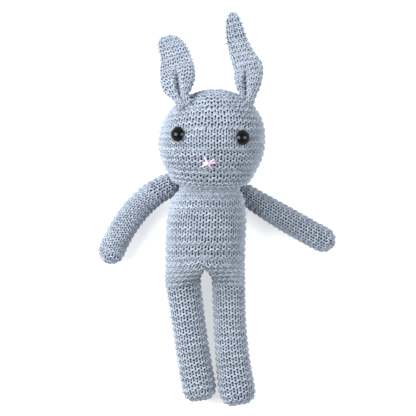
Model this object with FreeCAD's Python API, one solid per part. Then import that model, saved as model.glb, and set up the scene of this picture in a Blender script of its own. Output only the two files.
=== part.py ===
"""Stuffed hand-knitted bunny rabbit, lying on its back.

Millimetres. +Z points up out of the belly, +Y from the feet to the ears and +X to the
toy's own left side. The surface it lies on is z = 0. Every knitted cover is a closed
shell over its own stuffing, and each limb, the head and the ears are separate pieces
that meet at round joints, so each can be turned about its joint centre.
"""
import FreeCAD, Part
import math
import os
from FreeCAD import Vector as V

# ---- fabric and fits -------------------------------------------------------------------
COVER = 3.0                  # thickness of the knitted fabric
LOFT = 0.3                   # from the inside of a cover to its stuffing
FIT = 0.4                    # between two pieces that move on each other
YARN = 1.1                   # radius of a strand of the sewing-up yarn
THREAD_GAP = 0.2             # from a strand to the fabric it lies on

# ---- head ------------------------------------------------------------------------------
HEAD = V(4.4, 75.2, 42.8)    # centre of the head
HEAD_R = 43.4

# ---- neck: a firm ball that the head and the body both turn on ---------------------------
NECK = V(3.4, 39.5, 39.0)    # centre of the neck ball
NECK_R = 22.0
NECK_YARN_DROP = 2.9         # from the ball's centre plane down to the neck yarn
COLLAR_DROP = 12.6           # from the ball's centre plane down to the body's collar
COLLAR_REACH = 24.9          # radius kept clear for the neck yarn to swing in
SHOULDER_FALL = 20.0         # degrees that the shoulders drop away from the head

# ---- body: one ellipse per station, from hips to collar -----------------------------------
# (y, middle x, middle z, half width, half depth)
BODY_STATIONS = [
    (-20.0, -0.7, 24.0, 32.0, 25.2),
    (-5.0, -0.4, 27.0, 32.2, 29.0),
    (12.0, 0.3, 28.5, 32.0, 29.0),
    (24.0, 1.5, 32.5, 30.0, 27.5),
    (36.0, 2.8, 37.5, 26.5, 25.0),
]

# ---- arms ------------------------------------------------------------------------------
ARM_R = 10.8
ARM_BALL_R = 7.4             # firm ball of stuffing that the arm turns on
ARM_POCKET_R = 13.6          # hollow in the body's side for the arm's root
ARM_RING_R = 5.5             # ring of sewing-up yarn round the arm's root
ARM_PATHS = {                # shoulder, elbow, middle of the hand
    "right": [V(-31.5, 32.0, 18.0), V(-57.5, 17.5, 14.2), V(-76.0, -14.0, 10.5)],
    "left": [V(34.5, 31.0, 18.0), V(64.5, 17.0, 14.2), V(93.5, 1.0, 10.5)],
}

# ---- legs: a flat-sided barrel in the hip and a round leg ---------------------------------
HIP_Y = -32.0
HIP_Z = 22.3
HIP_R = 22.0                 # barrel radius
HIP_EDGE = 8.0               # rounding of the barrel's two edges
LEG_R = {"right": 14.3, "left": 13.6}
HIP_X = {"right": -18.8, "left": 16.8}
LEG_PATHS = {                # inside the barrel, knee, middle of the foot
    "right": [V(-18.4, -34.0, 13.9), V(-13.0, -80.0, 13.9), V(-6.3, -118.5, 13.9)],
    "left": [V(17.2, -34.0, 13.2), V(19.8, -80.0, 13.2), V(24.8, -122.0, 13.2)],
}
TOE_SEAM_OUT = 5.6           # from the middle of the foot out to the toe seam
TOE_SEAM_SPAN = 140.0        # degrees of the foot that the toe seam crosses

# ---- ears: flat doubled knitting, pinched at the root --------------------------------------
EAR_STAND = 5.0              # from the head's surface out to the ear's hinge line
EAR_HALF_THICK = 2.6
EAR_ROOT_R = 3.0             # round root that the ear folds about
EAR_TWIST_END = 0.35         # share of the length by which the ear faces straight up
EAR_ROOTS = {"right": V(-20.4, 32.0, 21.0), "left": V(27.6, 31.2, 12.8)}
EAR_TIPS = {"right": V(-32.8, 159.2, 14.0), "left": V(20.8, 178.4, 25.0)}
# (share of the ear's length, half width)
EAR_WIDTHS = {
    "right": [(0.0, 8.0), (0.4, 14.4), (0.7, 13.0), (0.9, 10.0), (1.0, 5.5)],
    "left": [(0.0, 8.0), (0.35, 11.6), (0.6, 9.6), (0.9, 7.4), (1.0, 3.6)],
}
EAR_SEAM_HALF = 6.5          # half length of each strand that sews an ear on
EAR_SEAM_OFF = 3.6           # from the hinge line to each strand
EAR_YARN = 0.8

# ---- safety eyes, out from the head's centre ------------------------------------------------
EYES = {"right": V(-26.6, 4.8, 34.0), "left": V(24.6, 2.1, 35.7)}
EYE_R = 6.0
EYE_HEIGHT = 4.2
EYE_RIM = 0.8                # thickness of the dome's straight rim
EYE_STAND = 0.1
SHANK_R = 2.2
WASHER_R = 7.0
WASHER_THICK = 1.4
WASHER_DEPTH = 3.8           # from the head's surface down to the washer's outer face
SHANK_DEPTH = 6.2
POCKET_DEPTH = 6.6           # how deep the stuffing is hollowed for washer and shank

# ---- nose: straight strands on the head, (x, y) from the head's centre ------------------------
NOSE_STRANDS = [
    ((-5.7, -13.8), (0.2, -22.2), 0.8),
    ((-7.6, -19.4), (3.0, -16.0), 0.9),
    ((-7.9, -21.6), (3.4, -18.2), 0.9),
]

SIDES = ("right", "left")
UP = V(0, 0, 1)


def unit(vector):
    """The same direction with length one."""
    result = V(vector)
    result.normalize()
    return result


def above_ground(shape, inset=0.0):
    """Flatten a shape where it rests on the ground."""
    ground = Part.makeBox(600, 600, 100, V(-300, -300, inset - 100))
    return shape.cut(ground)


def fused(first, *others):
    """Several solids joined into one, without leftover seams."""
    return first.fuse(list(others)).removeSplitter()


# ---- neck geometry ---------------------------------------------------------------------------
NECK_AXIS = unit(HEAD - NECK)


def neck_ball(radius):
    """A ball on the neck's centre."""
    return Part.makeSphere(radius, NECK)


def shoulder_clearance(inset):
    """The space the head and the neck yarn swing in, taken from the top of the body."""
    depth = 22.0
    lean = math.radians(90.0 - SHOULDER_FALL)
    apex = NECK - NECK_AXIS * (inset / math.sin(lean))
    disc = Part.makeCylinder(60, depth + 30, apex - NECK_AXIS * depth, NECK_AXIS)
    cone = Part.makeCone(0, depth * math.tan(lean), depth, apex, NECK_AXIS * -1)
    plane = NECK - NECK_AXIS * (COLLAR_DROP + inset)
    over_collar = Part.makeCylinder(60, 60, plane, NECK_AXIS)
    ring_space = neck_ball(COLLAR_REACH + inset).common(over_collar)
    return fused(disc.cut(cone), ring_space, neck_ball(NECK_R + FIT + inset))


# ---- head ------------------------------------------------------------------------------------
def head_solid(inset):
    """The head at a depth below its surface, hollowed for the neck ball."""
    ball = above_ground(Part.makeSphere(HEAD_R - inset, HEAD), inset)
    return ball.cut(neck_ball(NECK_R + FIT + inset))


def eye_cylinder(side, radius, inner, outer):
    """A round bar along an eye's shank, between two distances from the head's centre."""
    out = unit(EYES[side])
    return Part.makeCylinder(radius, outer - inner, HEAD + out * inner, out)


def head_cover():
    """Knitted cover with a hole for each eye's shank."""
    shell = head_solid(0).cut(head_solid(COVER))
    for side in SIDES:
        shell = shell.cut(eye_cylinder(side, SHANK_R + 0.2, HEAD_R - 6, HEAD_R + 2))
    return shell


def head_stuffing():
    """Stuffing with a pocket behind each eye."""
    fill = head_solid(COVER + LOFT)
    for side in SIDES:
        fill = fill.cut(eye_cylinder(side, WASHER_R + 0.4, HEAD_R - POCKET_DEPTH, HEAD_R))
    return fill


def eye(side):
    """Domed eye with a straight rim and a shank through the cover."""
    out = unit(EYES[side])
    base = HEAD_R + EYE_STAND
    dome_r = (EYE_R ** 2 + EYE_HEIGHT ** 2) / (2 * EYE_HEIGHT)
    rim = eye_cylinder(side, EYE_R, base, base + EYE_RIM)
    dome_centre = HEAD + out * (base + EYE_RIM + EYE_HEIGHT - dome_r)
    above_rim = eye_cylinder(side, EYE_R + 2, base + EYE_RIM, base + 12)
    dome = Part.makeSphere(dome_r, dome_centre).common(above_rim)
    shank = eye_cylinder(side, SHANK_R, HEAD_R - SHANK_DEPTH, base)
    return fused(rim, dome, shank)


def eye_washer(side):
    """Locking washer on the shank, inside the cover."""
    outer = HEAD_R - WASHER_DEPTH
    disc = eye_cylinder(side, WASHER_R, outer - WASHER_THICK, outer)
    return disc.cut(eye_cylinder(side, SHANK_R + 0.1, outer - 4, outer + 4))


def strand_on_ball(centre, ball_r, start, end, yarn_r):
    """A strand of yarn laid on a ball between two directions, with rounded ends."""
    start, end = unit(start), unit(end)
    path_r = ball_r + THREAD_GAP + yarn_r
    middle = unit(start + end)
    arc = Part.Arc(centre + start * path_r, centre + middle * path_r, centre + end * path_r)
    return rounded_tube(arc, yarn_r)


def on_face(point):
    """Direction from the head's centre to a point seen on the front of the head."""
    x, y = point
    return V(x, y, math.sqrt(HEAD_R ** 2 - x ** 2 - y ** 2))


def nose_stitches():
    """The crossed nose strands, one strand passing over the other two."""
    strands = []
    for level, (start, end, yarn_r) in enumerate(NOSE_STRANDS):
        lift = 0.0 if level else 2.2
        strands.append(strand_on_ball(HEAD, HEAD_R + lift, on_face(start), on_face(end), yarn_r))
    return Part.makeCompound(strands)


# ---- tubes -----------------------------------------------------------------------------------
def rounded_tube(arc, radius):
    """A round bar along an arc, with half balls on its ends."""
    edge = arc.toShape()
    first = edge.valueAt(edge.FirstParameter)
    last = edge.valueAt(edge.LastParameter)
    into = edge.tangentAt(edge.FirstParameter)
    out = edge.tangentAt(edge.LastParameter)
    profile = Part.Wire(Part.makeCircle(radius, first, into))
    tube = Part.Wire(edge).makePipeShell([profile], True, False)
    start_cap = Part.makeSphere(radius, first, into * -1, 0, 90, 360)
    end_cap = Part.makeSphere(radius, last, out, 0, 90, 360)
    return fused(Part.Solid(tube), start_cap, end_cap)


# ---- neck pieces -----------------------------------------------------------------------------
def neck_stuffing():
    """Firm ball of stuffing in the neck."""
    return neck_ball(NECK_R)


def neck_seam():
    """Gathering yarn round the neck ball, just under the head."""
    reach = NECK_R + 0.3 + YARN
    ring_r = math.sqrt(reach ** 2 - NECK_YARN_DROP ** 2)
    return Part.makeTorus(ring_r, YARN, NECK - NECK_AXIS * NECK_YARN_DROP, NECK_AXIS)


# ---- body ------------------------------------------------------------------------------------
def body_ellipse(station, inset):
    """Cross-section of the body at one station."""
    y, mid_x, mid_z, half_w, half_d = station
    centre = V(mid_x, y, mid_z)
    curve = Part.Ellipse(centre + V(half_w - inset, 0, 0),
                         centre + V(0, 0, half_d - inset), centre)
    return Part.Wire(curve.toShape())


def body_solid(inset):
    """The body at a depth below its surface, hollowed for neck, arms and hips."""
    wires = [body_ellipse(station, inset) for station in BODY_STATIONS]
    shape = above_ground(Part.makeLoft(wires, True), inset)
    end = Part.makeBox(200, 200, 200, V(-100, BODY_STATIONS[0][0] + inset - 200, -50))
    cutters = [end, shoulder_clearance(inset)]
    for side in SIDES:
        cutters.append(hip_barrel(side, -(FIT + inset)))
        cutters.append(Part.makeSphere(ARM_POCKET_R + inset, ARM_PATHS[side][0]))
    for cutter in cutters:
        shape = shape.cut(cutter)
    return shape


def body_cover():
    """Knitted cover of the body."""
    return body_solid(0).cut(body_solid(COVER))


def body_stuffing():
    """Stuffing of the body."""
    return body_solid(COVER + LOFT)


# ---- arms ------------------------------------------------------------------------------------
def arm_solid(side, inset):
    """An arm at a depth below its surface."""
    arm = rounded_tube(Part.Arc(*ARM_PATHS[side]), ARM_R - inset)
    return above_ground(arm, inset)


def arm_cover(side):
    """Knitted cover of an arm."""
    return arm_solid(side, 0).cut(arm_solid(side, COVER))


def arm_ball(side):
    """Firm ball of stuffing in the arm's root."""
    return Part.makeSphere(ARM_BALL_R, ARM_PATHS[side][0])


def arm_stuffing(side):
    """Stuffing of the arm beyond its root ball."""
    fill = arm_solid(side, COVER + LOFT)
    return fill.cut(Part.makeSphere(ARM_BALL_R + FIT, ARM_PATHS[side][0]))


def arm_seam(side):
    """Ring of yarn that sews the arm's root to the body."""
    shoulder = ARM_PATHS[side][0]
    inward = V(1 if side == "right" else -1, 0, 0)
    reach = ARM_R + 0.3 + YARN
    offset = math.sqrt(reach ** 2 - ARM_RING_R ** 2)
    return Part.makeTorus(ARM_RING_R, YARN, shoulder + inward * offset, inward)


# ---- legs ------------------------------------------------------------------------------------
def hip_barrel(side, inset):
    """Round-edged barrel that turns in the hip, about an axis across the body."""
    radius = HIP_R - inset
    half = LEG_R[side] - inset
    edge = HIP_EDGE - inset
    flat = half - edge
    diagonal = edge * math.sqrt(0.5)
    crown = V(0, radius, 0)
    rim = V(half, radius - edge, 0)
    corner = Part.Arc(V(flat, radius, 0), V(flat + diagonal, radius - edge + diagonal, 0), rim)
    far = V(-flat, radius, 0)
    far_rim = V(-half, radius - edge, 0)
    far_corner = Part.Arc(far_rim, V(-flat - diagonal, radius - edge + diagonal, 0), far)
    outline = Part.Wire([
        Part.makeLine(V(-half, 0, 0), far_rim),
        far_corner.toShape(),
        Part.makeLine(far, crown),
        Part.makeLine(crown, V(flat, radius, 0)),
        corner.toShape(),
        Part.makeLine(rim, V(half, 0, 0)),
        Part.makeLine(V(half, 0, 0), V(-half, 0, 0)),
    ])
    barrel = Part.Face(outline).revolve(V(0, 0, 0), V(1, 0, 0), 360)
    barrel.translate(V(HIP_X[side], HIP_Y, HIP_Z))
    return barrel


def leg_solid(side, inset):
    """A leg at a depth below its surface."""
    tube = rounded_tube(Part.Arc(*LEG_PATHS[side]), LEG_R[side] - inset)
    return above_ground(fused(hip_barrel(side, inset), tube), inset)


def leg_cover(side):
    """Knitted cover of a leg."""
    return leg_solid(side, 0).cut(leg_solid(side, COVER))


def leg_stuffing(side):
    """Stuffing of a leg."""
    return leg_solid(side, COVER + LOFT)


def toe_seam(side):
    """Strand that closes the toe, across the front of the foot."""
    _, knee, foot = LEG_PATHS[side]
    along = unit(foot - knee)
    around = math.sqrt(LEG_R[side] ** 2 - TOE_SEAM_OUT ** 2) + THREAD_GAP + YARN
    centre = foot + along * TOE_SEAM_OUT
    across = along.cross(UP)
    half = math.radians(TOE_SEAM_SPAN / 2)
    low = UP * (around * math.cos(half))
    side_step = across * (around * math.sin(half))
    arc = Part.Arc(centre + low - side_step, centre + UP * around, centre + low + side_step)
    return rounded_tube(arc, YARN)


# ---- ears ------------------------------------------------------------------------------------
def ear_frame(side):
    """Hinge centre, direction along the ear, hinge direction and ear length."""
    out = unit(EAR_ROOTS[side])
    hinge = HEAD + out * (HEAD_R + EAR_STAND)
    along = EAR_TIPS[side] - hinge
    length = along.Length
    along = unit(along)
    return hinge, along, unit(along.cross(out)), length


def ear(side):
    """A flat ear, pinched along the head at its root and twisted to face up beyond it."""
    hinge, along, across, length = ear_frame(side)
    level = unit(along.cross(UP))
    wires = []
    for share, half_w in EAR_WIDTHS[side]:
        turned = min(1.0, share / EAR_TWIST_END)
        wide = unit(across * (1.0 - turned) + level * turned)
        centre = hinge + along * (length * share)
        half_t = EAR_HALF_THICK * (1.0 if share < 1.0 else 0.6)
        curve = Part.Ellipse(centre + wide * half_w, centre + along.cross(wide) * half_t, centre)
        wires.append(Part.Wire(curve.toShape()))
    blade = Part.makeLoft(wires, True)
    root_half = EAR_WIDTHS[side][0][1]
    root = Part.makeCylinder(EAR_ROOT_R, 2 * root_half, hinge - across * root_half, across)
    return fused(root, blade)


def ear_seam(side):
    """The two strands that sew the ear's root to the head, one on each side of it."""
    out = unit(EAR_ROOTS[side])
    _, _, across, _ = ear_frame(side)
    forward = across.cross(out)
    strands = []
    for step in (-EAR_SEAM_OFF, EAR_SEAM_OFF):
        middle = out * HEAD_R + forward * step
        start = middle - across * EAR_SEAM_HALF
        end = middle + across * EAR_SEAM_HALF
        strands.append(strand_on_ball(HEAD, HEAD_R, start, end, EAR_YARN))
    return Part.makeCompound(strands)


# ---- export ----------------------------------------------------------------------------------
def all_parts():
    """Every piece by its node name."""
    parts = {
        "head_cover": head_cover(),
        "head_stuffing": head_stuffing(),
        "neck_stuffing": neck_stuffing(),
        "neck_seam": neck_seam(),
        "body_cover": body_cover(),
        "body_stuffing": body_stuffing(),
        "nose_stitches": nose_stitches(),
    }
    per_side = {
        "arm_cover": arm_cover,
        "arm_stuffing": arm_stuffing,
        "arm_ball": arm_ball,
        "arm_seam": arm_seam,
        "leg_cover": leg_cover,
        "leg_stuffing": leg_stuffing,
        "toe_seam": toe_seam,
        "ear": ear,
        "ear_seam": ear_seam,
        "eye": eye,
        "eye_washer": eye_washer,
    }
    for side in SIDES:
        for name, build in per_side.items():
            parts[f"{name}_{side}"] = build(side)
    return parts


os.makedirs("parts", exist_ok=True)
for node, shape in all_parts().items():
    shape.exportStep(f"parts/{node}.step")
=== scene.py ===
"""Look of a stuffed hand-knitted rabbit that lies on its back.

Every knitted part is real yarn: each course is one closed strand that runs over the part's
surface in loops, linked through the courses above and below it. Knit and purl courses take
turns, which is garter stitch: a ridge stands out for every two courses.
"""
import math
from collections import namedtuple

import bpy
import numpy as np
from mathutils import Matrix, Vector


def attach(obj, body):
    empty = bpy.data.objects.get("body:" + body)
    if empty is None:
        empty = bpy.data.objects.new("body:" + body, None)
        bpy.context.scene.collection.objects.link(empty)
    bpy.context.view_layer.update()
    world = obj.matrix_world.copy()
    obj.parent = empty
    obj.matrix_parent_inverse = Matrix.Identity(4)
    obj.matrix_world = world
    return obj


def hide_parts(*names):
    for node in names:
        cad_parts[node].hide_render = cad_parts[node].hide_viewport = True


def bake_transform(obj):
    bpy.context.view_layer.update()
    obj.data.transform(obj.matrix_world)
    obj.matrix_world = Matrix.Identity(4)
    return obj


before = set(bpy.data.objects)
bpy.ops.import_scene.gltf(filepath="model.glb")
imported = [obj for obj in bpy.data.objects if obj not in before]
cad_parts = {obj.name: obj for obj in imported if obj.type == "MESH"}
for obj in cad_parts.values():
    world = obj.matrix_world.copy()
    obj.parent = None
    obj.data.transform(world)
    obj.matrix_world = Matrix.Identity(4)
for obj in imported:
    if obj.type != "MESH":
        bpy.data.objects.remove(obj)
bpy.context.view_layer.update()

MM = 0.001
SIDES = ("right", "left")
UP = np.array([0.0, 0.0, 1.0])
INWARD = {"right": 1.0, "left": -1.0}               # which way along X the middle of the toy is
RNG = np.random.default_rng(7)

# ---- stitch, in millimetres ----------------------------------------------------------------
Gauge = namedtuple("Gauge", "stitch ridge yarn")      # width, two courses, radius of the yarn
GAUGES = {
    "head": Gauge(4.80, 4.60, 0.70),
    "neck": Gauge(4.80, 5.00, 0.68),
    "body": Gauge(4.50, 5.80, 0.74),
    "leg": Gauge(4.95, 4.95, 0.70),
    "arm": Gauge(4.00, 4.65, 0.62),
    "ear": Gauge(3.80, 4.80, 0.60),
}
LOOP_RISE = 0.78             # how far a loop reaches up and down, in courses
LOOP_BULGE = 0.18            # how far a loop's head is wider than its foot, in stitches
LOOP_DEPTH = 0.90            # how far the yarn weaves to front and back, in yarn radii
RIDGE_DEPTH = 0.90           # how far the ridges stand out, in yarn radii
RIDGE_SHARE = 0.6            # part of a ridge's height that counts as thickness of the fabric
RIDGE_PULL = 0.04            # how far the two courses of a ridge draw together, in courses
FRONT_SWELL = 0.20           # the yarn is loose and thicker in front, pulled thin behind
SHADE_SHEET_DEPTH = 3.0           # from the middle of the fabric to the dark sheet of painted shade behind the yarn, in yarn radii
POINTS_PER_STITCH = 10
YARN_SIDES = 5
YARN_JITTER = 0.03           # unevenness of hand knitting, in stitches
ADD_STITCHES_AT = 0.7        # stitches too few in each sector when a course gains some
DROP_STITCHES_AT = 0.3       # stitches too many in each sector when a course loses some
PLY_STEP = 1.35              # how far the plies turn between two points of the yarn, in radians
MEASURE_GRID = (241, 49)     # points along and around that a surface is measured at
EVEN_GRID = (61, 241)        # and those that it is evened out at
BOW_POINTS = 60              # points that a limb's length is measured at
BOW_STEP = 0.01              # share of a limb's length that gives its direction
NORMAL_STEP = 1e-3           # share of a surface on either side of a point that gives its normal

# ---- sewing strands: sizes in strand radii ---------------------------------------------------
PLIES = 3
PLY_TURN = 5.0               # length of one turn of the plies
PLY_OFF = 0.5                # from the strand's middle to a ply's
PLY_R = 0.56
PLY_TIP = 0.15               # how thin a strand's end is, as a share of its middle
STRAND_POINTS = 14           # points of a strand for each point that its route is given by
RING_POINTS = 181
EAR_SEAM_POINTS = 40

# ---- shapes, in millimetres; joint centres and eyes are those of the solid model ---------------
GROUND_SOFTNESS = 1.2        # how gently the underside turns flat
HEAD = np.array([4.4, 75.2, 42.8])                  # its centre
HEAD_R = 43.4
NECK = np.array([3.4, 39.5, 39.0])                  # centre of the ball that the head turns on
NECK_R = 22.0
NECK_BAND = (-45.0, 15.0)    # degrees of the neck ball that are knitted over
NECK_FIT = 0.4               # how much fuller the neck's fabric is than its stuffing
NECK_OPENING = 29.0          # degrees from the neck axis to the head's lower edge
CROWN = np.array([-0.09, 0.97, -0.21])              # where the head's last courses close
HEAD_LEAN = 0.070            # sideways, for each millimetre above the head's centre
JAW = 0.09                   # how much fuller the head is than a ball just above the neck
JAW_PLACE = 41.0             # degrees from the neck axis
JAW_REACH = 10.0             # degrees over which it fades
HEAD_FLAT = 0.045            # how much lower the top is than a ball's, in radii
EYE_AIMS = [(-26.6, 4.8, 34.0), (24.6, 2.1, 35.7)]  # from the head's centre
EYE_DENT = (7.5, 0.5)        # reach and depth of the dent that each eye presses

# (y, middle x, middle z, half width, half depth), from hips to neck
BODY_STATIONS = [
    (-20.0, -0.7, 24.6, 32.4, 24.6),
    (-8.0, -0.5, 27.2, 32.6, 27.4),
    (4.0, 0.0, 28.4, 32.5, 28.6),
    (16.0, 0.6, 30.2, 32.0, 28.6),
    (28.0, 1.8, 34.0, 29.6, 26.8),
    (39.5, 3.2, 39.0, 23.0, 20.5),
]
BODY_STITCHES = 40           # round the hips
BODY_FRONT = 0.75            # share round the body at the middle of its front
ARM_DENT = 1.5               # how much wider than the arm the dent in the body's side is
ARM_DENT_AIM = (1.0, -0.35, 0.25)                   # where the right arm presses

ARM_R = {"right": (10.6, 11.4, 11.3), "left": (9.2, 10.7, 10.9)}     # shoulder, elbow, hand
SHOULDERS = {"right": (-31.5, 32.0, 18.0), "left": (34.5, 31.0, 18.0)}     # where they turn
ARM_PATHS = {                # root, elbow, middle of the hand
    "right": [(-31.0, 39.4, 18.0), (-56.4, 20.0, 14.2), (-76.0, -12.8, 11.0)],
    "left": [(32.2, 32.2, 18.0), (64.0, 12.9, 14.2), (93.8, -3.6, 10.7)],
}

LEG_R = {"right": (15.4, 14.1, 14.4), "left": (14.2, 13.6, 15.2)}     # hip, knee, foot
LEG_PATHS = {                # hip, knee, middle of the foot
    "right": [(-21.0, -20.0, 14.3), (-13.4, -76.0, 14.1), (-6.4, -119.3, 14.0)],
    "left": [(18.3, -20.0, 13.6), (19.6, -76.0, 13.5), (24.6, -122.0, 14.4)],
}
LEG_STITCHES = 16            # round a leg
CROTCH_STITCHES = 8          # stitches of each leg that close the body between the legs
WALL_OFF = 0.8               # from the body's middle to each leg's side of that wall
WALL_EDGE = 0.25             # share of half the wall in which it gets there
FOOT_BLUNT = 3.2             # 2 is half a ball, and more is flatter
LEG_SHARE = 0.93             # share of a leg's length that is knitted before the body takes over
HIP_LENGTHS = (32.0, 11.0)   # from half an oval to a round leg, on the outer and the inner side
GAP_DROP = 4.5               # how far below the body the legs part

EAR_STAND = 5.0              # from the head's surface out to the ear's hinge
# from the head's centre towards each hinge, and the place of each tip
EAR_ROOTS = {"right": (-20.4, 32.0, 21.0), "left": (27.6, 31.2, 12.8)}
EAR_TIPS = {"right": (-32.8, 159.2, 14.0), "left": (20.8, 178.4, 25.0)}
# from root to tip at equal steps: half width, and how far the ear bows sideways
EAR_WIDTHS = {
    "right": (6.2, 12.8, 14.5, 13.8, 12.5, 11.2, 7.4),
    "left": (5.8, 11.0, 11.9, 10.2, 9.2, 7.8, 4.6),
}
EAR_BOWS = {
    "right": (-2.4, -1.2, 0.6, 1.9, 3.1, 2.4, 0.5),
    "left": (0.0, 1.4, 3.4, 0.7, -0.8, -0.9, 0.0),
}
EAR_THICK = (3.4, 4.8, 4.2, 2.4, 1.4, 1.3, 1.2)   # half thickness, to the middle of the fabric
EAR_FOLDS = {                                     # how deep the fold in the front is
    "right": (0.9, 1.0, 0.45, 0.0, 0.0, 0.0, 0.0),
    "left": (0.7, 1.0, 0.1, 0.0, 0.0, 0.0, 0.0),
}
EAR_FOLD_PLACES = {"right": 0.0, "left": -2.6}    # sideways from the ear's middle
EAR_FOLD_FLOOR = 0.4         # half width of the bottom of the fold
EAR_FOLD_REACH = 3.6         # width of each of its walls
EAR_FOLD_DEPTH = 1.1         # from the ear's middle down to the fold's floor, in half thicknesses
EAR_WALL_CURVE = 0.4         # 1 is a straight wall, and less is steeper
EAR_CORNERS = 0.6            # 1 is an oval section, and less is squarer
EAR_INSET = 0.6              # how much of the fabric's thickness counts in the ear's width
EAR_ROOT_DIP = 7.0           # how far the root bends down to the head
EAR_DIP_START = 8.0          # distance from the hinge where that bend starts
EAR_BURY = 6.5               # how far the root reaches back over the head
EAR_TIP_ROUND = 6.0          # length of the rounded tip
EAR_ROOT_LEAST = 0.3         # share of the roundness that is left at the root's very end
EAR_LEAST = (0.25, 0.4)      # shares of the width and the thickness left where the ear closes

# ---- seams, in millimetres -------------------------------------------------------------------
STRAND_R = {                 # radius of each kind of strand
    "neck": 0.7, "arm": 0.9, "toe": 0.75, "ear": 0.7,
    "nose": 0.88, "ear_thread": 0.45, "chin_thread": 0.4, "crotch": 0.85,
}
NECK_YARN_DROP = 1.9         # from the neck's middle down to the gathering yarn
NECK_YARN_RING = 22.6        # radius of its ring
ARM_RING_IN = 11.0           # from the shoulder's centre in to the ring of sewing yarn
ARM_RING = 5.5               # radius of that ring
TOE_STITCHES = 6             # running stitches that close a toe
TOE_SPAN = 0.36              # share of the foot's girth that the row of stitches takes
TOE_PLACE = 0.082            # share of the leg's length from its end to the row
TOE_SAG = 0.006              # how far the row bows, as the same share
TOE_SAG_TURN = 7.0           # radians of a cosine along that bow
TOE_LIFT = 0.9               # how far the strand weaves above and below the fabric's middle
EAR_SEAM_OFF = 3.6           # from the hinge to the strand in front of it and behind it
EAR_SEAM_HALF = 6.5          # half length of each
EAR_SEAM_LIFT = 0.6          # height of its middle over the head
EAR_SEAM_DIVE = 1.5          # how far its ends sink
CROTCH_SEAM_STITCHES = 4
CROTCH_SEAM_START = 0.012    # share of the body's length up to the first stitch
CROTCH_SEAM_STEP = 0.016     # and from one to the next
CROTCH_SEAM_RISE = 0.004     # and from a stitch's start to its end
CROTCH_SEAM_REACH = (0.026, 0.022)                  # share of the girth to its start and its end
CROTCH_SEAM_LEAN = 0.002     # by how much each stitch starts nearer the middle
CROTCH_SEAM_LIFT = (-0.8, 0.75)                     # height over the fabric, ends and middle
# (x, y) from the head's centre and height over the head, at the start, middle and end
NOSE_STRANDS = {
    "nose_strand_upper": [(-7.2, -18.5, -1.0), (-2.5, -17.7, 0.3), (3.0, -15.3, -1.0)],
    "nose_strand_lower": [(-8.2, -21.4, -1.0), (-2.9, -18.7, 0.3), (3.5, -18.2, -1.0)],
    "nose_strand_over": [(-5.8, -13.4, -1.0), (-2.7, -18.2, 1.5), (0.4, -22.6, -1.0)],
}
EAR_THREAD = [(29.0, 31.0, -0.6), (28.2, 26.0, 1.3), (26.6, 20.6, -0.4)]
CHIN_THREAD = [(-5.0, -27.0, -0.4), (-5.3, -31.5, 1.3), (-5.2, -36.0, -0.4)]

# ---- colours, linear red, green and blue -------------------------------------------------------
YARN_BLUE = ((0.445, 0.51, 0.605), (0.33, 0.38, 0.455))        # the two that it is mottled with
YARN_PINK = ((0.93, 0.74, 0.86), (0.80, 0.58, 0.72))
# painted shade: colour of the dark sheet behind the yarn, which stands for the shade in the holes
# of the knitting
PAINTED_SHADE_COLOUR = (0.05, 0.06, 0.085)
EYE_BLACK = (0.006, 0.006, 0.007)
EYE_GLOSS = (0.04, 0.12)     # least and greatest roughness
WASHER_WHITE = (0.80, 0.80, 0.77)
WASHER_GLOSS = (0.25, 0.45)
PLASTIC_IOR = 1.38           # low, so that the rims of the eyes stay dark
FLOOR_WHITE = (0.85, 0.85, 0.85)

# ---- stage, in metres ------------------------------------------------------------------------
CAMERA_PLACE = (1.6 * MM, 21.6 * MM, 4.0)
VIEW_HEIGHT = 0.030          # height above the floor where the view is measured
VIEW_WIDTH = 0.3328          # width of the view there
FLOOR_GLOW = 0.55
ROOM_LIGHT = (0.50, 0.12)    # strength at the horizon and overhead
ROOM_LIGHT_TOP = 0.5         # height in the sky, from 0 to 1, from which it is as dim as overhead
LIGHT_AIM = (0.0, 0.06, 0.04)
# name, place, size, power in watts, and whether the eyes mirror it
LIGHTS = [
    ("softbox_left", (-0.80, 0.09, 0.80), (0.70, 0.85), 15.0, True),
    ("softbox_right", (0.80, 0.07, 0.80), (0.70, 0.85), 9.0, True),
    ("key_upper_left", (-0.80, 1.10, 0.75), (0.8, 0.8), 18.0, False),
]

# ---- small maths ---------------------------------------------------------------------------
def unit(v):
    """Rows of v with length one."""
    v = np.asarray(v, float)
    return v / np.maximum(np.linalg.norm(v, axis=-1, keepdims=True), 1e-12)


def smoothstep(x):
    """0 below 0, 1 above 1, and smooth between."""
    x = np.clip(x, 0.0, 1.0)
    return x * x * (3.0 - 2.0 * x)


def through(points, t):
    """A smooth curve through evenly spaced points, t from 0 to 1."""
    points = np.asarray(points, float)
    last = len(points) - 1
    x = np.clip(np.asarray(t, float), 0.0, 1.0) * last
    i = np.minimum(x.astype(int), last - 1)
    f = (x - i)[..., None]
    padded = np.concatenate([2 * points[:1] - points[1:2], points, 2 * points[-1:] - points[-2:-1]])
    a, b, c, d = padded[i], padded[i + 1], padded[i + 2], padded[i + 3]
    return 0.5 * (2 * b + (c - a) * f + (2 * a - 5 * b + 4 * c - d) * f ** 2
                  + (3 * b - a - 3 * c + d) * f ** 3)


def level(values, t):
    """A smooth curve through evenly spaced numbers, t from 0 to 1."""
    return through(np.array(values)[:, None], t)[..., 0]


def bow(points, t):
    """A single bow through three points, t from 0 to 1."""
    start, middle, end = (np.asarray(p, float) for p in points)
    control = 2 * middle - (start + end) / 2
    f = np.clip(t, 0.0, 1.0)[..., None]
    return (1 - f) ** 2 * start + 2 * f * (1 - f) * control + f ** 2 * end


def at_least(least, x):
    """x from 0 to 1, raised so that it starts from least."""
    return least + (1 - least) * x


def skin(part):
    """Distance from the middle of a part's fabric to its outside."""
    return GAUGES[part].yarn * (1 + LOOP_DEPTH + RIDGE_SHARE * RIDGE_DEPTH)


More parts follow.
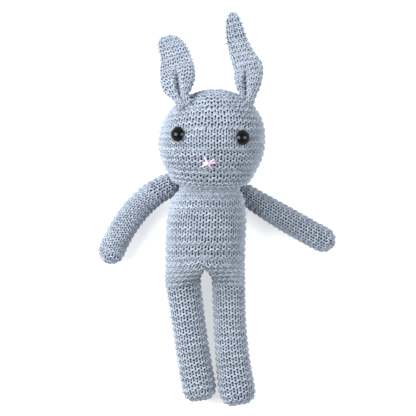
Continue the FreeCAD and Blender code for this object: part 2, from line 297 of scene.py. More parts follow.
def rest_on_ground(points, part):
    """Points of the middle of the fabric, softly flattened where the toy lies."""
    points = points.copy()
    depth = points[..., 2] - skin(part)
    points[..., 2] = skin(part) + 0.5 * (depth + np.sqrt(depth ** 2 + GROUND_SOFTNESS ** 2))
    return points


# ---- surfaces: each gives the middle of the fabric for u around and t along, both 0 to 1 -------
def head_surface(u, t):
    """The round head, with courses level at the neck and tipped back at the crown."""
    polar = np.radians(NECK_OPENING + (180.0 - NECK_OPENING) * t)
    start = unit(HEAD - NECK)
    axis = unit(start + (unit(CROWN) - start) * smoothstep(t)[..., None])
    side = unit(np.cross(axis, UP))
    front = np.cross(side, axis)
    angle = 2 * np.pi * u
    radius = HEAD_R - skin("head")
    out = side * np.sin(angle)[..., None] + front * np.cos(angle)[..., None]
    from_jaw = (polar - np.radians(JAW_PLACE)) / np.radians(JAW_REACH)
    jaw = 1 + JAW * np.exp(-from_jaw ** 2)
    around = out * (radius * jaw * np.sin(polar))[..., None]
    spots = HEAD + around - axis * (radius * np.cos(polar))[..., None]
    above = np.maximum(spots[..., 1] - HEAD[1], 0.0)
    spots[..., 0] += HEAD_LEAN * above
    spots[..., 1] -= HEAD_FLAT * above ** 2 / HEAD_R
    for aim in EYE_AIMS:
        eye = HEAD + unit(aim) * HEAD_R
        near = np.exp(-np.sum((spots - eye) ** 2, axis=-1) / EYE_DENT[0] ** 2)
        spots = spots - unit(aim) * (EYE_DENT[1] * near)[..., None]
    return rest_on_ground(spots, "head")


def body_oval(station, angle):
    """A point on the body's oval cross-section."""
    y, mid_x, mid_z, half_w, half_d = np.moveaxis(station, -1, 0)
    x = mid_x + (half_w - skin("body")) * np.cos(angle)
    z = mid_z + (half_d - skin("body")) * np.sin(angle)
    return np.stack([x, y, z], axis=-1)


def body_surface(u, t):
    """The body from the hips to the neck."""
    angle = np.pi / 2 + 2 * np.pi * (u - BODY_FRONT)
    spots = body_oval(through(BODY_STATIONS, t), angle)
    return rest_on_ground(dent_for_arms(spots), "body")


def dent_for_arms(spots):
    """The body's side drawn in round each arm's root."""
    for side in SIDES:
        away = spots - np.array(ARM_PATHS[side][0])
        distance = np.linalg.norm(away, axis=-1, keepdims=True)
        reach = ARM_R[side][0] + ARM_DENT
        inward = unit(np.array(ARM_DENT_AIM) * (INWARD[side], 1.0, 1.0))
        push = np.maximum(reach - distance, 0.0)
        spots = spots + inward * push
    return spots


def capped(path, radii, u, t, side_axis, blunt=2.0):
    """A round limb along a path; its ends are half balls, or flatter where blunt is above 2."""
    ends = bow(path, np.array([0.0, 2 * BOW_STEP, 1 - 2 * BOW_STEP, 1.0]))
    steps = np.diff(bow(path, np.linspace(0, 1, BOW_POINTS)), axis=0)
    length = np.linalg.norm(steps, axis=1).sum()
    s = t * (length + radii[0] + radii[2]) - radii[0]
    before, after = np.minimum(s, 0.0), np.maximum(s - length, 0.0)
    f = np.clip(s / length, 0.0, 1.0)
    centre = bow(path, f) + before[..., None] * unit(ends[1] - ends[0])
    centre = centre + after[..., None] * unit(ends[3] - ends[2])
    ahead = bow(path, np.minimum(f + BOW_STEP, 1.0)) - bow(path, np.maximum(f - BOW_STEP, 0.0))
    ahead = unit(ahead)
    overrun = np.maximum(-before / radii[0], after / radii[2])
    roundness = np.maximum(1 - overrun ** blunt, 0.0) ** (1 / blunt)
    girth = level(radii, f) * roundness
    a = unit(side_axis - ahead * np.sum(side_axis * ahead, axis=-1, keepdims=True))
    b = np.cross(ahead, a)
    angle = (2 * np.pi * u)[..., None]
    return centre + (a * np.cos(angle) + b * np.sin(angle)) * girth[..., None]


def arm_surface(side):
    """Surface of an arm, from the hand to the shoulder."""
    path = ARM_PATHS[side][::-1]
    radii = [radius - skin("arm") for radius in ARM_R[side][::-1]]

    def surface(u, t):
        return rest_on_ground(capped(path, radii, u, t, UP), "arm")
    return surface


def leg_surface(side):
    """Surface of a leg, from the toe up to the hip, where it opens into half of the body."""
    sign = -INWARD[side]
    path = LEG_PATHS[side][::-1]
    radii = [radius - skin("leg") for radius in LEG_R[side][::-1]]
    wall = CROTCH_STITCHES / (BODY_STITCHES / 2 + CROTCH_STITCHES)
    inner = np.array([-sign, 0.0, 0.0])

    def half_oval(u, y):
        """Half of the body's lowest oval, closed by a wall down its middle."""
        station = np.array(BODY_STATIONS[0])
        on_arc = np.clip((u - wall / 2) / (1 - wall), 0.0, 1.0)
        angle = np.pi / 2 - sign * np.pi * on_arc
        spots = body_oval(np.broadcast_to(station, u.shape + station.shape), angle)
        into_wall = np.where(u < 0.5, wall / 2 - u, u - (1 - wall / 2)) / (wall / 2)
        into_wall = np.clip(into_wall, 0.0, 1.0)
        spots[..., 2] += (station[2] - spots[..., 2]) * into_wall
        spots[..., 0] += sign * WALL_OFF * np.minimum(into_wall / WALL_EDGE, 1.0)
        spots[..., 1] = y
        return spots

    def surface(u, t):
        u = np.mod(u, 1.0)
        spots = capped(path, radii, sign * u, t * LEG_SHARE, inner, blunt=FOOT_BLUNT)
        y = spots[..., 1]
        inwards = (1 + np.cos(2 * np.pi * u)) / 2
        top = BODY_STATIONS[0][0] - GAP_DROP * inwards
        reach = HIP_LENGTHS[0] + (HIP_LENGTHS[1] - HIP_LENGTHS[0]) * inwards
        opening = smoothstep(1.0 - (top - y) / reach)[..., None]
        return rest_on_ground(spots * (1 - opening) + half_oval(u, y) * opening, "leg")
    return surface


def ear_frame(side):
    """Hinge centre, direction along the ear, hinge direction and ear length."""
    out = unit(EAR_ROOTS[side])
    hinge = HEAD + out * (HEAD_R + EAR_STAND)
    along = np.array(EAR_TIPS[side]) - hinge
    length = np.linalg.norm(along)
    along = along / length
    return hinge, along, unit(np.cross(along, out)), length


def ear_outline(side, s, share, length):
    """Half width and half thickness of an ear at each distance from its hinge."""
    from_tip = np.clip((length - s) / EAR_TIP_ROUND, 0.0, 1.0)
    from_root = np.clip((s + EAR_BURY) / EAR_BURY, 0.0, 1.0)
    closing = np.sqrt(1 - (1 - from_tip) ** 2)
    closing = closing * at_least(EAR_ROOT_LEAST, np.sqrt(1 - (1 - from_root) ** 2))
    half_w = level(EAR_WIDTHS[side], share) - EAR_INSET * skin("ear")
    half_w = half_w * at_least(EAR_LEAST[0], closing)
    half_t = level(EAR_THICK, share) * at_least(EAR_LEAST[1], closing)
    return half_w, half_t


def fold_front(side, x, y, half_t, depth):
    """Height y of an ear's section at x, with its front pressed in along the fold."""
    from_fold = np.abs(x - EAR_FOLD_PLACES[side]) - EAR_FOLD_FLOOR
    wall = np.clip(from_fold / EAR_FOLD_REACH, 0.0, 1.0) ** EAR_WALL_CURVE
    sunk = np.where(y > 0, 1 - wall, 0.0) * depth
    return y - sunk * (y + EAR_FOLD_DEPTH * half_t)


def ear_surface(side):
    """A flattened tube with its lower edges folded forward, which leaves a slit between them."""
    hinge, along, _, length = ear_frame(side)
    out = unit(EAR_ROOTS[side])
    wide = unit(np.cross(along, UP))
    normal = np.cross(wide, along)

    def surface(u, t):
        s = t * (length + EAR_BURY) - EAR_BURY
        share = np.clip(s / length, 0.0, 1.0)
        half_w, half_t = ear_outline(side, s, share, length)
        angle = 2 * np.pi * u
        x = half_w * np.cos(angle)
        y = half_t * np.sign(np.sin(angle)) * np.abs(np.sin(angle)) ** EAR_CORNERS
        depth = level(EAR_FOLDS[side], share) * smoothstep((s + EAR_BURY) / EAR_BURY)
        y = fold_front(side, x, y, half_t, depth)
        x = x + level(EAR_BOWS[side], share)
        into_dip = np.maximum(EAR_DIP_START - s, 0.0) / (EAR_DIP_START + EAR_BURY)
        dip = EAR_ROOT_DIP * into_dip ** 2
        place = hinge + along * s[..., None] - out * dip[..., None]
        return rest_on_ground(place + wide * x[..., None] + normal * y[..., None], "ear")
    return evened(surface)


def evened(surface):
    """The same surface with u in step with distance around it."""
    rows, columns = EVEN_GRID
    u_at = np.linspace(0.0, 1.0, columns)
    grid = surface(*np.meshgrid(u_at, np.linspace(0.0, 1.0, rows)))
    steps = np.linalg.norm(np.diff(grid, axis=1), axis=-1)
    around = np.concatenate([np.zeros((rows, 1)), np.cumsum(steps, axis=1)], axis=1)
    around /= around[:, -1:]
    table = np.array([np.interp(u_at, row, u_at) for row in around])

    def even(u, t):
        turn = np.floor(u)
        column = (u - turn) * (columns - 1)
        row = np.clip(t, 0.0, 1.0) * (rows - 1)
        i, j = np.minimum(row.astype(int), rows - 2), np.minimum(column.astype(int), columns - 2)
        down, across = row - i, column - j
        low = table[i, j] * (1 - across) + table[i, j + 1] * across
        high = table[i + 1, j] * (1 - across) + table[i + 1, j + 1] * across
        return surface(turn + low * (1 - down) + high * down, t)
    return even


def neck_surface(u, t):
    """The short neck between head and body."""
    axis = unit(HEAD - NECK)
    side = unit(np.cross(axis, UP))
    front = np.cross(side, axis)
    lift = np.radians(NECK_BAND[0] + (NECK_BAND[1] - NECK_BAND[0]) * t)
    angle = 2 * np.pi * u
    out = side * np.sin(angle)[..., None] + front * np.cos(angle)[..., None]
    radius = NECK_R - skin("neck") + NECK_FIT
    return NECK + (out * np.cos(lift)[..., None] + axis * np.sin(lift)[..., None]) * radius


# ---- knitting ------------------------------------------------------------------------------
def measure(surface):
    """Evenly spaced t, and the distance along a surface and its girth at each."""
    t = np.linspace(0.0, 1.0, MEASURE_GRID[0])
    u = np.linspace(0.0, 1.0, MEASURE_GRID[1])
    grid = surface(*np.meshgrid(u, t))
    steps = np.linalg.norm(np.diff(grid, axis=0), axis=-1).mean(axis=1)
    girth = np.linalg.norm(np.diff(grid, axis=1), axis=-1).sum(axis=1)
    return t, np.concatenate([[0.0], np.cumsum(steps)]), girth


def with_normals(surface, u, t):
    """Points of a surface and the outward direction at each."""
    low, high = np.clip(t - NORMAL_STEP, 0, 1), np.clip(t + NORMAL_STEP, 0, 1)
    spots = surface(u, t)
    du = surface(u + NORMAL_STEP, t) - surface(u - NORMAL_STEP, t)
    dt = surface(u, high) - surface(u, low)
    normal = unit(np.cross(du, dt))
    opposite = surface(u + 0.5, t)
    outward = np.sum(normal * (spots - opposite), axis=-1)
    flip = np.where(outward.sum() < 0, -1.0, 1.0)
    return spots, normal * flip


def edges(own, parent, sectors):
    """Stitch edges of a course, and where the same edges lie on the course below."""
    m, p = own // sectors, parent // sectors
    k = np.arange(m + 1)
    below = k / m
    if m == p - 1:                                   # the last stitch is knitted through two
        below = np.where(k == m, 1.0, k / p)
    if m == p + 1:                                   # the last two share one stitch below
        below = np.where(k == m, 1.0, np.where(k == m - 1, (p - 0.5) / p, k / p))
    starts = np.arange(sectors)[:, None]
    on_own = ((starts + (k / m)[:-1]) / sectors).ravel()
    on_parent = ((starts + below[:-1]) / sectors).ravel()
    return np.append(on_own, 1.0), np.append(on_parent, 1.0)


def plan_courses(girths, stitch, sectors, most):
    """Stitches in each course, changed by one per sector at a time."""
    counts = []
    current = None
    for girth in girths:
        wanted = min(most, girth / stitch)
        if current is None:
            current = max(sectors, sectors * round(wanted / sectors))
        elif wanted - current > ADD_STITCHES_AT * sectors:
            current += sectors
        elif current - wanted > DROP_STITCHES_AT * sectors:
            current = max(sectors, current - sectors)
        counts.append(current)
    return [(count, sectors) for count in counts]


def course_loops(index, own, below):
    """One course of loops as (around, along in courses, depth) for every point of its yarn."""
    side = -1.0 if index % 2 else 1.0                # odd courses are purl, the knit turned round
    turn = np.linspace(-np.pi, np.pi, POINTS_PER_STITCH, endpoint=False)
    across = turn / (2 * np.pi) + LOOP_BULGE * np.sin(2 * turn)
    rise = (1 + np.cos(turn)) / 2

    def place(bounds):
        middle = (bounds[:-1] + bounds[1:]) / 2
        width = np.diff(bounds)
        wobble = RNG.normal(0.0, YARN_JITTER, len(middle)) * width
        return (middle + wobble)[:, None] + width[:, None] * across

    around = rise * place(own) + (1 - rise) * place(below)
    tension = 1 + RNG.normal(0.0, YARN_JITTER, len(own) - 1)
    along = index + 0.5 + side * RIDGE_PULL + LOOP_RISE * np.cos(turn) * tension[:, None]
    depth = side * LOOP_DEPTH * np.cos(3 * turn) - RIDGE_DEPTH * np.cos(np.pi * along)
    return around.ravel(), along.ravel(), depth.ravel()


def yarn_rings(path, normal, radius, closed):
    """Corners of a tube round a path, one ring per point."""
    ahead = np.gradient(path, axis=0)
    if closed:
        ahead = np.roll(path, -1, axis=0) - np.roll(path, 1, axis=0)
    side = unit(np.cross(unit(ahead), normal))
    out = np.cross(side, unit(ahead))
    angle = 2 * np.pi * np.arange(YARN_SIDES) / YARN_SIDES
    cos, sin = np.cos(angle)[None, :, None], np.sin(angle)[None, :, None]
    radius = np.broadcast_to(radius, len(path))[:, None, None]
    return path[:, None] + radius * (cos * out[:, None] + sin * side[:, None])


def tube_faces(rings, first, closed):
    """Quads between the rings of one tube whose corners start at first."""
    last = rings if closed else rings - 1
    i = np.arange(last)[:, None]
    k = np.arange(YARN_SIDES)[None, :]
    here, there = i * YARN_SIDES, ((i + 1) % rings) * YARN_SIDES
    nxt = (k + 1) % YARN_SIDES
    return first + np.stack([here + k, here + nxt, there + nxt, there + k], axis=-1).reshape(-1, 4)


def knit(name, surface, part, plan=None, sectors=None, most=None):
    """A knitted skin over a surface: one closed strand of yarn for each course.

    plan lists the stitches and sectors of each course. Without it, the stitches follow the
    girth, up to most, and change by one in each of the sectors at a time.
    """
    gauge = GAUGES[part]
    t_at, length_at, girth_at = measure(surface)
    courses = len(plan) if plan else max(2, 2 * round(length_at[-1] / gauge.ridge))
    if plan is None:
        middles = (np.arange(courses) + 0.5) / courses * length_at[-1]
        girths = np.interp(middles, length_at, girth_at)
        plan = plan_courses(girths, gauge.stitch, sectors, most)
    corners, faces = [], []
    first = 0
    for index in range(courses):
        count, parts = plan[index]
        parent = plan[index - 1][0] if index else count
        own, below = edges(count, parent, parts)
        around, along, depth = course_loops(index, own, below)
        t = np.interp(along / courses * length_at[-1], length_at, t_at)
        spots, normal = with_normals(surface, around, t)
        path = spots + normal * (depth * gauge.yarn)[:, None]
        swell = 1 + FRONT_SWELL * depth / (LOOP_DEPTH + RIDGE_DEPTH)
        rings = yarn_rings(path, normal, gauge.yarn * swell, closed=True)
        corners.append(rings.reshape(-1, 3))
        faces.append(tube_faces(len(rings), first, closed=True))
        first += rings.shape[0] * YARN_SIDES
    yarn = mesh_object(name, np.concatenate(corners), np.concatenate(faces))
    add_yarn_uv(yarn)
    return yarn


def add_yarn_uv(obj):
    """A map along and round the yarn, in radians of its plies and in shares of its girth."""
    mesh = obj.data
    layer = mesh.uv_layers.new(name="yarn")
    quads = len(mesh.polygons)
    k = np.arange(quads) % YARN_SIDES
    ring = np.arange(quads) // YARN_SIDES
    u = np.stack([ring, ring, ring + 1, ring + 1], axis=1).astype(float)
    v = np.stack([k, k + 1, k + 1, k], axis=1) / YARN_SIDES
    layer.data.foreach_set("uv", np.stack([u * PLY_STEP, v], axis=-1).astype(np.float32).ravel())


def plied(name, path, outward, radius, closed):
    """A sewing strand of three plies wound round each other along a path."""
    step = np.linalg.norm(np.diff(path, axis=0), axis=1)
    length = np.concatenate([[0.0], np.cumsum(step)])
    turns = max(1, round(length[-1] / (PLY_TURN * radius)))
    ahead = unit(np.gradient(path, axis=0))
    side = unit(np.cross(ahead, outward))
    up = np.cross(side, ahead)
    taper = np.ones(len(path))
    if not closed:
        from_end = np.minimum(length, length[-1] - length)
        taper = at_least(PLY_TIP, smoothstep(from_end / radius))
    corners, faces = [], []
    for ply in range(PLIES):
        angle = 2 * np.pi * (ply / PLIES + turns * length / length[-1])
        swing = up * np.cos(angle)[:, None] + side * np.sin(angle)[:, None]
        centre = path + swing * (PLY_OFF * radius * taper)[:, None]
        rings = yarn_rings(centre, outward, PLY_R * radius * taper, closed=False)
        corners.append(rings.reshape(-1, 3))
        faces.append(tube_faces(len(rings), ply * len(rings) * YARN_SIDES, closed=False))
    strand = mesh_object(name, np.concatenate(corners), np.concatenate(faces))
    add_yarn_uv(strand)
    return strand


def shade_sheet_mesh(name, surface, part, around, along):
    """A sheet just behind the yarn that carries the painted shade of the holes in the knitting."""
    u, t = np.meshgrid(np.linspace(0, 1, around, endpoint=False), np.linspace(0, 1, along))
    spots, normal = with_normals(surface, u, t)
    corners = (spots - normal * (SHADE_SHEET_DEPTH * GAUGES[part].yarn)).reshape(-1, 3)
    i = np.arange(along - 1)[:, None] * around
    k = np.arange(around)[None, :]
    nxt = (k + 1) % around
    faces = np.stack([i + k, i + nxt, i + around + nxt, i + around + k], axis=-1).reshape(-1, 4)
    return mesh_object(name, corners, faces)


def mesh_object(name, corners_mm, faces):
    """A smooth-shaded mesh from corners in millimetres and quads."""
    mesh = bpy.data.meshes.new(name)
    mesh.vertices.add(len(corners_mm))
    mesh.vertices.foreach_set("co", (np.asarray(corners_mm) * MM).astype(np.float32).ravel())
    mesh.loops.add(len(faces) * 4)
    mesh.loops.foreach_set("vertex_index", np.asarray(faces, np.int32).ravel())
    mesh.polygons.add(len(faces))
    mesh.polygons.foreach_set("loop_start", np.arange(len(faces), dtype=np.int32) * 4)
    mesh.polygons.foreach_set("use_smooth", np.ones(len(faces), bool))
    mesh.update(calc_edges=True)
    mesh.validate()
    obj = bpy.data.objects.new(name, mesh)
    bpy.context.scene.collection.objects.link(obj)
    return obj


# ---- materials -----------------------------------------------------------------------------
def yarn_material(name, colour, dark):
    """Plied matt yarn with a soft halo of fibres."""
    material = bpy.data.materials.new(name)
    material.use_nodes = True
    nodes, links = material.node_tree.nodes, material.node_tree.links
    shader = nodes["Principled BSDF"]
    shader.inputs["Roughness"].default_value = 0.9
    shader.inputs["Sheen Weight"].default_value = 0.15
    shader.inputs["Sheen Roughness"].default_value = 0.5
    shader.inputs["Specular IOR Level"].default_value = 0.2
    mottled = nodes.new("ShaderNodeTexNoise")
    mottled.inputs["Scale"].default_value = 160.0
    mottled.inputs["Detail"].default_value = 3.0
    ramp = nodes.new("ShaderNodeValToRGB")
    ramp.color_ramp.elements[0].position = 0.3
    ramp.color_ramp.elements[0].color = (*dark, 1.0)
    ramp.color_ramp.elements[1].position = 0.7
    ramp.color_ramp.elements[1].color = (*colour, 1.0)
    place = nodes.new("ShaderNodeTexCoord")
    links.new(place.outputs["Object"], mottled.inputs["Vector"])
    links.new(mottled.outputs["Fac"], ramp.inputs["Fac"])
    links.new(ramp.outputs["Color"], shader.inputs["Base Color"])
    links.new(ply_bump(nodes, links, place), shader.inputs["Normal"])
    return material


def ply_bump(nodes, links, place):
    """Bump of three plies wound round each other, with finer fibres on them."""
    split = nodes.new("ShaderNodeSeparateXYZ")
    links.new(place.outputs["UV"], split.inputs["Vector"])
    wound = nodes.new("ShaderNodeMath")
    wound.operation = "MULTIPLY_ADD"
    wound.inputs[1].default_value = PLIES * 2 * math.pi
    links.new(split.outputs["Y"], wound.inputs[0])
    links.new(split.outputs["X"], wound.inputs[2])
    plies = nodes.new("ShaderNodeMath")
    plies.operation = "SINE"
    links.new(wound.outputs["Value"], plies.inputs[0])
    fibres = nodes.new("ShaderNodeTexNoise")
    fibres.inputs["Scale"].default_value = 1800.0
    fibres.inputs["Detail"].default_value = 2.0
    links.new(place.outputs["Object"], fibres.inputs["Vector"])
    height = nodes.new("ShaderNodeMath")
    height.operation = "ADD"
    links.new(plies.outputs["Value"], height.inputs[0])
    links.new(fibres.outputs["Fac"], height.inputs[1])
    bump = nodes.new("ShaderNodeBump")
    bump.inputs["Strength"].default_value = 0.5
    bump.inputs["Distance"].default_value = 0.0003
    links.new(height.outputs["Value"], bump.inputs["Height"])
    return bump.outputs["Normal"]


def shade_sheet_material(colour):
    """Painted shade for the sheet behind the knitting, a quarter darker in places."""
    material = bpy.data.materials.new("fabric_inside")
    material.use_nodes = True
    nodes, links = material.node_tree.nodes, material.node_tree.links
    shader = nodes["Principled BSDF"]
    shader.inputs["Roughness"].default_value = 1.0
    shader.inputs["Specular IOR Level"].default_value = 0.0
    noise = nodes.new("ShaderNodeTexNoise")
    noise.inputs["Scale"].default_value = 900.0
    ramp = nodes.new("ShaderNodeValToRGB")
    ramp.color_ramp.elements[0].color = (*[0.75 * c for c in colour], 1.0)
    ramp.color_ramp.elements[1].color = (*colour, 1.0)
    links.new(noise.outputs["Fac"], ramp.inputs["Fac"])
    links.new(ramp.outputs["Color"], shader.inputs["Base Color"])
    return material


def plain_material(name, colour, roughness):
    """One even finish."""
    material = bpy.data.materials.new(name)
    material.use_nodes = True
    shader = material.node_tree.nodes["Principled BSDF"]
    shader.inputs["Base Color"].default_value = (*colour, 1.0)
    shader.inputs["Roughness"].default_value = roughness
    return material


def moulded_material(name, colour, gloss):
    """Moulded plastic with faint scuffs; gloss is its least and its greatest roughness."""
    material = plain_material(name, colour, gloss[0])
    nodes, links = material.node_tree.nodes, material.node_tree.links
    shader = nodes["Principled BSDF"]
    shader.inputs["IOR"].default_value = PLASTIC_IOR
    scuffs = nodes.new("ShaderNodeTexNoise")
    scuffs.inputs["Scale"].default_value = 700.0
    spread = nodes.new("ShaderNodeMapRange")
    spread.inputs["To Min"].default_value = gloss[0]
    spread.inputs["To Max"].default_value = gloss[1]
    links.new(scuffs.outputs["Fac"], spread.inputs["Value"])
    links.new(spread.outputs["Result"], shader.inputs["Roughness"])
    return material


def give(obj, material):
    """Assign one material to all of an object."""
    obj.data.materials.clear()
    obj.data.materials.append(material)


# ---- pieces --------------------------------------------------------------------------------
BLUE = yarn_material("blue_yarn", *YARN_BLUE)
PINK = yarn_material("pink_yarn", *YARN_PINK)
# painted shade: the dark sheet behind the yarn stands for the shade in the holes of the knitting
PAINTED_SHADE_MATERIAL = shade_sheet_material(PAINTED_SHADE_COLOUR)


def make_part(part, surface, replaced, tie, side=None, fill=None, grid=(64, 72), **knitting):
    """Knit one part over its surface, put a dark sheet of painted shade behind it, and tie both
    pieces to what they follow.
    """
    ending = f"_{side}" if side else ""
    yarn = knit(f"{part}_knit{ending}", surface, part, **knitting)
    # painted shade: a dark sheet behind the yarn, where the stuffing is, darkens the holes
    inside = shade_sheet_mesh(f"{part}_inside{ending}", surface, part, *grid)
    for piece, material in ((yarn, BLUE), (inside, PAINTED_SHADE_MATERIAL)):
        give(piece, material)
    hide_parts(*replaced)
    for piece in (yarn, inside):
        tie(piece)


def make_head():
    """The round head."""
    def tie(piece):
        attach(piece, "head")
    replaced = ("head_cover", "head_stuffing")
    make_part("head", head_surface, replaced, tie, fill=0.95, sectors=8, most=56)


def make_body():
    """The body, whose courses gain and lose stitches at its two sides."""
    def tie(piece):
        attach(piece, "body")
    replaced = ("body_cover", "body_stuffing")
    make_part("body", body_surface, replaced, tie, fill=0.9, sectors=2, most=BODY_STITCHES)


def make_neck():
    """The band that shows in the crease under the head when it moves."""
    def tie(piece):
        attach(piece, "neck_ball")
    make_part("neck", neck_surface, ("neck_stuffing",), tie, fill=1.0, sectors=4, most=28)


def make_arm(side):
    """An arm, which is knitted from the hand up."""
    def tie(piece):
        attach(piece, f"arm_{side}")
    replaced = (f"arm_cover_{side}", f"arm_stuffing_{side}", f"arm_ball_{side}")
    make_part("arm", arm_surface(side), replaced, tie, side, fill=0.9, grid=(32, 90),
              sectors=4, most=16)


def leg_plan(surface):
    """Stitches in each course of a leg: 16 round it, widened to half the body at the hip."""
    _, length_at, _ = measure(surface)
    courses = 2 * round(length_at[-1] / GAUGES["leg"].ridge)
    top = BODY_STITCHES // 2 + CROTCH_STITCHES
    toe = [(4, 4), (8, 4), (12, 4)]
    hip = [(count, 1) for count in range(LEG_STITCHES + 1, top + 1)]
    straight = courses - len(toe) - len(hip)
    return toe + [(LEG_STITCHES, 4)] + [(LEG_STITCHES, 1)] * (straight - 1) + hip


def make_leg(side):
    """A leg, which runs smoothly into the body across the hip."""

    def tie(piece):
        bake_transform(piece)
    surface = leg_surface(side)
    replaced = (f"leg_cover_{side}", f"leg_stuffing_{side}")
    make_part("leg", surface, replaced, tie, side, fill=0.9, grid=(48, 110),
              plan=leg_plan(surface))


def make_ear(side):
    """A flat ear, whose root dips down to the head where it is sewn on."""

    def tie(piece):
        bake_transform(piece)
    make_part("ear", ear_surface(side), (f"ear_{side}",), tie, side, grid=(96, 60),
              sectors=2, most=16)


def over(surface, points):
    """A path over a surface through (u, t, lift) points, and the outward direction along it."""
    fine = through(points, np.linspace(0, 1, STRAND_POINTS * len(points)))
    spots, normal = with_normals(surface, fine[:, 0], fine[:, 1])
    return spots + normal * fine[:, 2:3], normal


def on_head(points):
    """A path over the front of the head through (x, y, lift) points, seen from the front."""
    fine = through(points, np.linspace(0, 1, STRAND_POINTS * len(points)))
    x, y = fine[:, 0], fine[:, 1]
    out = unit(np.stack([x, y, np.sqrt(HEAD_R ** 2 - x ** 2 - y ** 2)], axis=1))
    return HEAD + out * (HEAD_R + fine[:, 2:3]), out


def ring(centre, axis, radius):
    """A closed circle and its outward directions, with its first point repeated at the end."""
    side = unit(np.cross(axis, (1.0, 0.0, 0.3)))     # any direction but the axis will do
    front = np.cross(side, axis)
    turn = np.linspace(0, 2 * np.pi, RING_POINTS)[:, None]
    out = side * np.cos(turn) + front * np.sin(turn)
    return centre + out * radius, out


def sew(name, path_and_out, kind, body, material=BLUE, closed=False):
    """One plied strand that rides on a body."""
    strand = plied(name, *path_and_out, STRAND_R[kind], closed)
    give(strand, material)
    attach(strand, body)
    return strand


def make_nose():
    """Three strands that cross on the face; each dives into the fabric at its ends."""
    for name, points in NOSE_STRANDS.items():
        strand = sew(name, on_head(points), "nose", "head", PINK)
    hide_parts("nose_stitches")


def make_neck_seam():
    """Gathering yarn that sits in the crease under the head."""
    axis = unit(HEAD - NECK)
    path = ring(NECK - axis * NECK_YARN_DROP, axis, NECK_YARN_RING)
    strand = sew("neck_gathering_yarn", path, "neck", "neck_ring", closed=True)
    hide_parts("neck_seam")


def make_arm_seam(side):
    """Yarn round the arm's root, in the crease between arm and body."""
    inward = np.array([INWARD[side], 0.0, 0.0])
    path = ring(np.array(SHOULDERS[side]) + inward * ARM_RING_IN, inward, ARM_RING)
    strand = sew(f"arm_sewing_yarn_{side}", path, "arm", "body", closed=True)
    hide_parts(f"arm_seam_{side}")


def make_toe_seam(side):
    """Running stitches that close the toe, across the front of the foot."""
    count = 2 * TOE_STITCHES + 1
    centre = 0.5 - 0.25 * INWARD[side]
    points = []
    for index in range(count):
        share = index / (count - 1) - 0.5
        t = TOE_PLACE + TOE_SAG * math.cos(TOE_SAG_TURN * share)
        lift = TOE_LIFT if index % 2 else -TOE_LIFT
        points.append((centre + TOE_SPAN * share, t, lift))
    path = over(leg_surface(side), points)
    strand = sew(f"toe_sewing_yarn_{side}", path, "toe", f"leg_{side}")
    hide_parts(f"toe_seam_{side}")


def make_ear_seam(side):
    """Strands that sew the ear's root down, in front of it and behind it."""
    out = unit(EAR_ROOTS[side])
    _, _, across, _ = ear_frame(side)
    forward = np.cross(across, out)
    turn = np.linspace(-1, 1, EAR_SEAM_POINTS)[:, None]
    for name, step in (("front", EAR_SEAM_OFF), ("back", -EAR_SEAM_OFF)):
        aim = unit(out * HEAD_R + forward * step + across * (EAR_SEAM_HALF * turn))
        path = HEAD + aim * (HEAD_R + EAR_SEAM_LIFT - EAR_SEAM_DIVE * turn ** 4)
        strand = sew(f"ear_sewing_yarn_{name}_{side}", (path, aim), "ear", "head")
    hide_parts(f"ear_seam_{side}")


def make_loose_stitches():
    """Short stitches that close a gap: beside the ear, under the chin and at the crotch."""
    sew("ear_thread_left", on_head(EAR_THREAD), "ear_thread", "head")
    sew("chin_thread", on_head(CHIN_THREAD), "chin_thread", "head")
    low, high = CROTCH_SEAM_LIFT
    for index in range(CROTCH_SEAM_STITCHES):
        t = CROTCH_SEAM_START + CROTCH_SEAM_STEP * index
        start = BODY_FRONT + CROTCH_SEAM_REACH[0] - CROTCH_SEAM_LEAN * index
        end = BODY_FRONT - CROTCH_SEAM_REACH[1]
        points = [(start, t, low), (BODY_FRONT, t, high), (end, t + CROTCH_SEAM_RISE, low)]
        sew(f"crotch_stitch_{index + 1}", over(body_surface, points), "crotch", "body")


def make_eyes():
    """The glossy eyes, and the washers that hold them inside the head."""
    black = moulded_material("eye_black", EYE_BLACK, EYE_GLOSS)
    milky = moulded_material("washer_white", WASHER_WHITE, WASHER_GLOSS)
    for side in SIDES:
        give(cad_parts[f"eye_{side}"], black)
        give(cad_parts[f"eye_washer_{side}"], milky)


# ---- stage ---------------------------------------------------------------------------------
def make_camera():
    """A camera straight above, far enough that depth hardly changes the scale."""
    camera = bpy.data.cameras.new("camera")
    camera.sensor_width = 36.0
    camera.lens = camera.sensor_width * (CAMERA_PLACE[2] - VIEW_HEIGHT) / VIEW_WIDTH
    camera.clip_end = 20.0
    holder = bpy.data.objects.new("camera", camera)
    holder.location = CAMERA_PLACE
    bpy.context.scene.collection.objects.link(holder)
    bpy.context.scene.camera = holder


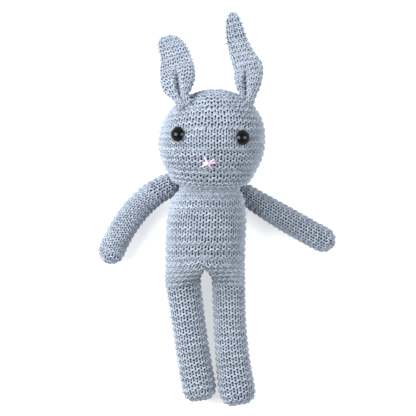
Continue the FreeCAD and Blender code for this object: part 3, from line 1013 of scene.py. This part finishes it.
def make_room():
    """A white room, dim overhead, so that the eyes stay dark in the middle."""
    world = bpy.data.worlds.new("soft_room")
    world.use_nodes = True
    nodes, links = world.node_tree.nodes, world.node_tree.links
    place = nodes.new("ShaderNodeTexCoord")
    split = nodes.new("ShaderNodeSeparateXYZ")
    links.new(place.outputs["Generated"], split.inputs["Vector"])
    height = nodes.new("ShaderNodeMapRange")
    height.inputs["From Min"].default_value = 0.0
    height.inputs["From Max"].default_value = ROOM_LIGHT_TOP
    height.inputs["To Min"].default_value = ROOM_LIGHT[0]
    height.inputs["To Max"].default_value = ROOM_LIGHT[1]
    links.new(split.outputs["Z"], height.inputs["Value"])
    links.new(height.outputs["Result"], nodes["Background"].inputs["Strength"])
    nodes["Background"].inputs["Color"].default_value = (1.0, 1.0, 1.0, 1.0)
    bpy.context.scene.world = world
    bpy.context.scene.view_settings.view_transform = "Standard"


def make_light(name, place, size, power, mirrored):
    """A soft rectangular lamp that faces the toy."""
    light = bpy.data.lights.new(name, "AREA")
    light.shape = "RECTANGLE"
    light.size, light.size_y = size
    light.energy = power
    lamp = bpy.data.objects.new(name, light)
    lamp.location = place
    lamp.rotation_euler = (Vector(LIGHT_AIM) - Vector(place)).to_track_quat("-Z", "Y").to_euler()
    lamp.visible_glossy = mirrored
    bpy.context.scene.collection.objects.link(lamp)


def make_floor():
    """A white light table, which keeps shadows faint."""
    bpy.ops.mesh.primitive_plane_add(size=4.0, location=(0, 0, 0))
    floor = bpy.context.object
    floor.name = "floor"
    floor.visible_glossy = False                     # keeps the rims of the eyes dark
    white = plain_material("floor_white", FLOOR_WHITE, 0.9)
    shader = white.node_tree.nodes["Principled BSDF"]
    shader.inputs["Emission Color"].default_value = (1.0, 1.0, 1.0, 1.0)
    shader.inputs["Emission Strength"].default_value = FLOOR_GLOW
    give(floor, white)


make_camera()
make_room()
for lamp_facts in LIGHTS:
    make_light(*lamp_facts)
make_floor()
make_head()
make_neck()
make_body()
for body_side in SIDES:
    make_arm(body_side)
    make_leg(body_side)
    make_ear(body_side)
    make_arm_seam(body_side)
    make_toe_seam(body_side)
    make_ear_seam(body_side)
make_neck_seam()
make_nose()
make_loose_stitches()
make_eyes()
